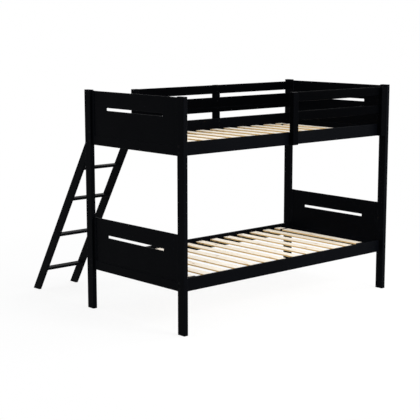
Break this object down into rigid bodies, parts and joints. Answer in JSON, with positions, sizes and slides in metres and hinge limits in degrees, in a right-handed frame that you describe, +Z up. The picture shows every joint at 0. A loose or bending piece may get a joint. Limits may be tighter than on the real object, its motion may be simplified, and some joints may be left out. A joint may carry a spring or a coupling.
{
  "type": "bunk bed with ladder",
  "caption": "Bunk bed of two single beds stacked on corner posts, with slotted end panels, slatted decks, upper guards and a leaning ladder.",
  "frame": {"origin": "on the floor, under the centre of the outer box of the bed and its ladder", "axes": "+X along the bed towards the end away from the ladder, +Y across the bed towards the ladder side, +Z up"},
  "size_m": [2.034, 1.8168, 1.551],
  "materials": {
    "painted_wood": "satin black paint",
    "pine": "bare planed pine",
    "hook_steel": "black powder coat"
  },
  "bodies": {
    "lower_bed": {"lower_post_front_left": "painted_wood", "lower_post_front_right": "painted_wood", "lower_post_rear_left": "painted_wood", "lower_post_rear_right": "painted_wood", "lower_end_panel_left": "painted_wood", "lower_end_panel_right": "painted_wood", "lower_side_rail_front": "painted_wood", "lower_side_rail_rear": "painted_wood", "lower_slat_01": "pine", "lower_slat_02": "pine", "lower_slat_03": "pine", "lower_slat_04": "pine", "lower_slat_05": "pine", "lower_slat_06": "pine", "lower_slat_07": "pine", "lower_slat_08": "pine", "lower_slat_09": "pine", "lower_slat_10": "pine", "lower_slat_11": "pine", "lower_slat_12": "pine", "lower_slat_13": "pine"},
    "upper_bed": {"upper_post_front_left": "painted_wood", "upper_post_front_right": "painted_wood", "upper_post_rear_left": "painted_wood", "upper_post_rear_right": "painted_wood", "upper_end_panel_left": "painted_wood", "upper_end_panel_right": "painted_wood", "upper_side_rail_front": "painted_wood", "upper_side_rail_rear": "painted_wood", "upper_slat_01": "pine", "upper_slat_02": "pine", "upper_slat_03": "pine", "upper_slat_04": "pine", "upper_slat_05": "pine", "upper_slat_06": "pine", "upper_slat_07": "pine", "upper_slat_08": "pine", "upper_slat_09": "pine", "upper_slat_10": "pine", "upper_slat_11": "pine", "upper_slat_12": "pine", "upper_slat_13": "pine", "front_guard_post_left": "painted_wood", "front_guard_post_right": "painted_wood", "front_guard_top_rail": "painted_wood", "front_guard_mid_rail": "painted_wood", "rear_guard_post_left": "painted_wood", "rear_guard_post_middle": "painted_wood", "rear_guard_top_rail": "painted_wood", "rear_guard_mid_rail": "painted_wood"},
    "ladder": {"ladder_rail_left": "painted_wood", "ladder_rail_right": "painted_wood", "ladder_tread_1": "painted_wood", "ladder_tread_2": "painted_wood", "ladder_tread_3": "painted_wood", "ladder_tread_4": "painted_wood", "ladder_hook_left": "hook_steel", "ladder_hook_right": "hook_steel"}
  },
  "joints": [
    {"name": "upper_bed_lift", "type": "slide", "parent": "lower_bed", "child": "upper_bed", "axis": [0, 0, 1], "range_m": [0, 0.06]},
    {"name": "ladder_lift", "type": "slide", "parent": "upper_bed", "child": "ladder", "axis": [0, 0, 1], "range_m": [0, 0.05]}
  ]
}
